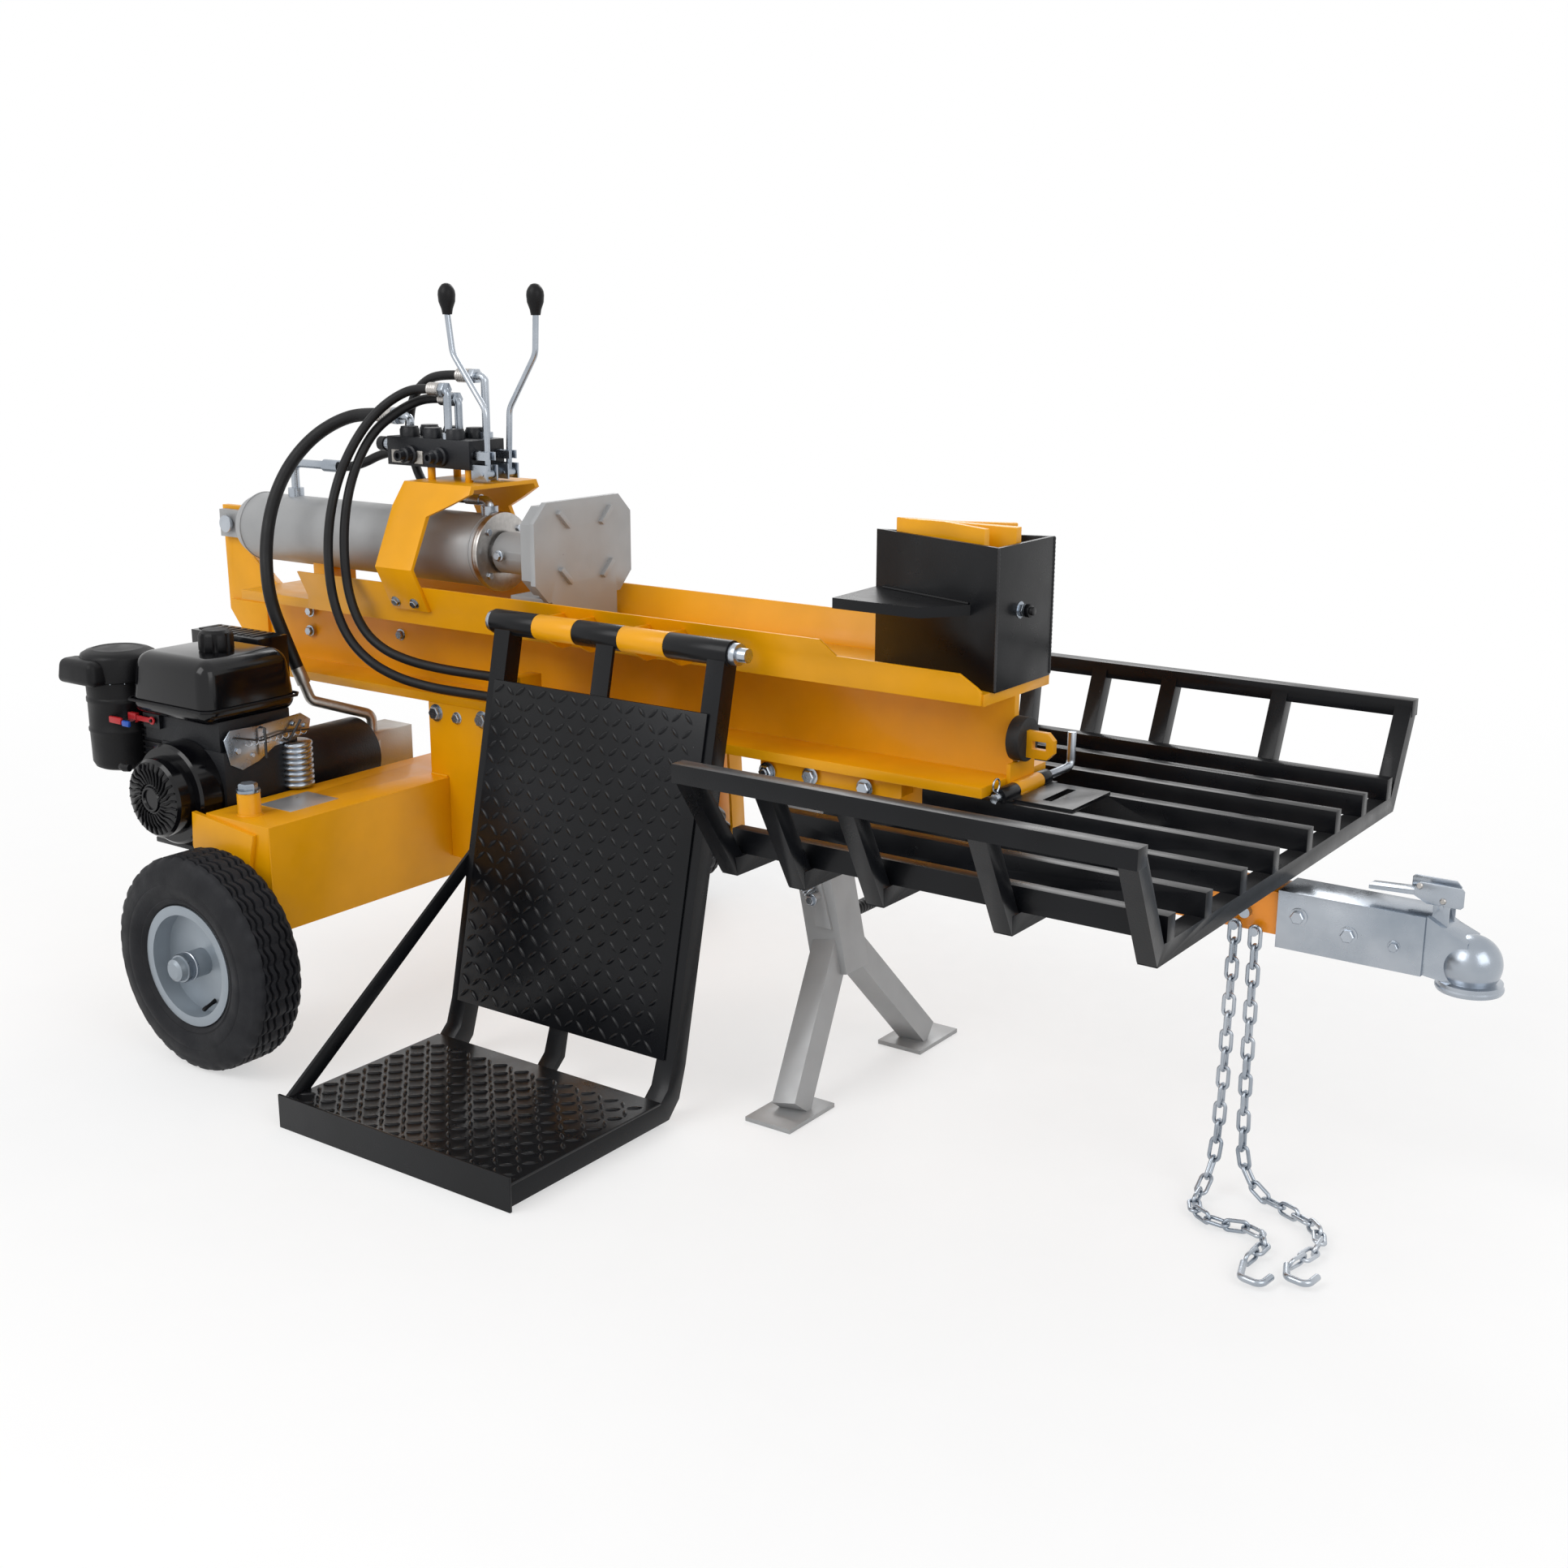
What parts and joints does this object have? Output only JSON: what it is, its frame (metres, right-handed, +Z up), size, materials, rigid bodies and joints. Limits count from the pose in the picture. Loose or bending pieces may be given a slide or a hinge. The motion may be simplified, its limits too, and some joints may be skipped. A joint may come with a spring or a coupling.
{
  "type": "log splitter",
  "caption": "Towable hydraulic log splitter: horizontal beam with ram and push plate, four way wedge, log lift, split wood table, petrol engine and pump, oil tank axle and tow coupler.",
  "frame": {"origin": "middle of the whole machine's box, on the ground under it", "axes": "+X from the axle to the towing coupler along the beam, +Y across the beam away from the log lift, +Z up from the ground"},
  "size_m": [2.848, 1.533, 1.43],
  "materials": {
    "yellow_paint": "satin yellow powder coat, lightly dusty",
    "tongue_paint": "satin orange yellow powder coat",
    "grey_paint": "satin silver grey paint",
    "black_paint": "satin black powder coat",
    "tyre_rubber": "matte tyre rubber",
    "rim_paint": "silver grey paint, satin",
    "chrome": "polished hard chrome",
    "zinc": "zinc plated steel",
    "cast_alloy": "cast alloy, fine grain",
    "engine_metal": "dark cast alloy with black shrouds",
    "engine_plastic": "black moulded plastic",
    "hose_rubber": "black hydraulic hose cover",
    "bumper_rubber": "black bumper rubber"
  },
  "bodies": {
    "chassis": {"beam": "yellow_paint", "wing_near": "yellow_paint", "wing_far": "yellow_paint", "oil_tank": "yellow_paint", "axle_ends": "yellow_paint", "pedestal": "yellow_paint", "wedge_blade": "yellow_paint", "valve_bracket": "yellow_paint", "lift_brackets": "yellow_paint", "tongue_receiver": "yellow_paint", "tongue": "tongue_paint", "cylinder_barrel": "grey_paint", "cylinder_ports": "grey_paint", "engine_deck": "black_paint", "muffler_cover": "black_paint", "coupler": "zinc", "anchor_pin": "zinc", "lift_hinge_pin": "zinc", "safety_chains": "zinc", "lever_yoke": "zinc", "valve_fittings": "zinc", "cylinder_gland": "zinc", "filler_plug": "zinc", "pump": "cast_alloy", "bell_housing": "cast_alloy", "valve_body": "cast_alloy", "engine_block": "engine_metal", "recoil_starter": "engine_plastic", "air_cleaner": "engine_plastic", "fuel_tank": "engine_plastic", "pressure_hose_line": "hose_rubber", "lift_hose_raise": "hose_rubber", "lift_hose_lower": "hose_rubber", "rear_port_hose": "hose_rubber", "front_port_hose": "hose_rubber", "end_bumper": "bumper_rubber"},
    "wheel_near": {"tyre_near": "tyre_rubber", "rim_near": "rim_paint"},
    "wheel_far": {"tyre_far": "tyre_rubber", "rim_far": "rim_paint"},
    "ram": {"piston_rod": "chrome", "push_plate": "grey_paint"},
    "four_way": {"four_way_wedge": "black_paint"},
    "split_handle": {"split_lever": "chrome"},
    "lift_handle": {"lift_lever": "chrome"},
    "split_valve_spool": {"split_spool": "chrome"},
    "lift_valve_spool": {"lift_spool": "chrome"},
    "throttle": {"throttle_lever": "engine_plastic"},
    "cap": {"fuel_cap": "engine_plastic"},
    "drive": {"drive_coupling": "zinc"},
    "lift": {"lift_frame": "black_paint", "lift_back_plate": "black_paint", "lift_shelf": "black_paint"},
    "lift_barrel": {"lift_cylinder_barrel": "black_paint"},
    "lift_rod": {"lift_cylinder_rod": "chrome"},
    "latch": {"coupler_latch": "zinc"},
    "jack": {"jack_stand": "grey_paint", "jack_spring": "zinc"},
    "work_table": {"table": "black_paint"},
    "hinge_pin": {"table_pin": "zinc"}
  },
  "joints": [
    {"name": "ram_slide", "type": "slide", "parent": "chassis", "child": "ram", "axis": [1, 0, 0], "range_m": [0, 0.62]},
    {"name": "wheel_near_spin", "type": "hinge", "parent": "chassis", "child": "wheel_near", "pos_m": [-0.729, -0.6435, 0.2075], "axis": [0, 1, 0], "continuous": true},
    {"name": "wheel_far_spin", "type": "hinge", "parent": "chassis", "child": "wheel_far", "pos_m": [-0.729, 0.6845, 0.2075], "axis": [0, 1, 0], "continuous": true},
    {"name": "split_lever_tilt", "type": "hinge", "parent": "chassis", "child": "split_handle", "pos_m": [-0.579, -0.0095, 1.066], "axis": [0, 1, 0], "range_deg": [-10, 10]},
    {"name": "lift_lever_tilt", "type": "hinge", "parent": "chassis", "child": "lift_handle", "pos_m": [-0.579, 0.0505, 1.066], "axis": [0, 1, 0], "range_deg": [-10, 10]},
    {"name": "split_spool_slide", "type": "slide", "parent": "chassis", "child": "split_valve_spool", "axis": [1, 0, 0], "range_m": [-0.0065, 0.0065]},
    {"name": "lift_spool_slide", "type": "slide", "parent": "chassis", "child": "lift_valve_spool", "axis": [1, 0, 0], "range_m": [-0.0065, 0.0065]},
    {"name": "lift_swing", "type": "hinge", "parent": "chassis", "child": "lift", "pos_m": [-0.129, -0.1695, 0.813], "axis": [-1, 0, 0], "range_deg": [0, 80]},
    {"name": "lift_barrel_tilt", "type": "hinge", "parent": "chassis", "child": "lift_barrel", "pos_m": [-0.089, 0.1305, 0.38], "axis": [-1, 0, 0], "range_deg": [-1, 2]},
    {"name": "lift_rod_slide", "type": "slide", "parent": "lift_barrel", "child": "lift_rod", "axis": [0, -0.7866, 0.6175], "range_m": [0, 0.25]},
    {"name": "jack_swing", "type": "hinge", "parent": "chassis", "child": "jack", "pos_m": [0.146, 0.0205, 0.583], "axis": [0, 1, 0], "range_deg": [0, 50]},
    {"name": "coupler_latch_lift", "type": "hinge", "parent": "chassis", "child": "latch", "pos_m": [1.329, 0.0205, 0.538], "axis": [0, 1, 0], "range_deg": [0, 95]},
    {"name": "wedge_lift", "type": "slide", "parent": "chassis", "child": "four_way", "axis": [0, 0, 1], "range_m": [0, 0.25]},
    {"name": "table_tilt", "type": "hinge", "parent": "chassis", "child": "work_table", "pos_m": [0.613, 0.0205, 0.6085], "axis": [0, -1, 0], "range_deg": [0, 4.5]},
    {"name": "table_pin_pull", "type": "slide", "parent": "chassis", "child": "hinge_pin", "axis": [0, 1, 0], "range_m": [0, 0.16]},
    {"name": "fuel_cap_turn", "type": "hinge", "parent": "chassis", "child": "cap", "pos_m": [-0.934, -0.4145, 0.757], "axis": [0, 0, 1], "continuous": true},
    {"name": "drive_spin", "type": "hinge", "parent": "chassis", "child": "drive", "pos_m": [-0.934, -0.1945, 0.465], "axis": [0, 1, 0], "continuous": true},
    {"name": "throttle_tilt", "type": "hinge", "parent": "chassis", "child": "throttle", "pos_m": [-1.025, -0.5105, 0.6], "axis": [0, 1, 0], "range_deg": [-25, 8]}
  ],
  "couplings": [
    {"joint": "split_spool_slide", "follows": "split_lever_tilt", "m_per_rad": 0.035},
    {"joint": "lift_spool_slide", "follows": "lift_lever_tilt", "m_per_rad": 0.035},
    {"joint": "lift_barrel_tilt", "follows": "lift_swing", "ratio": 0.01916},
    {"joint": "lift_rod_slide", "follows": "lift_swing", "m_per_rad": 0.17664}
  ]
}
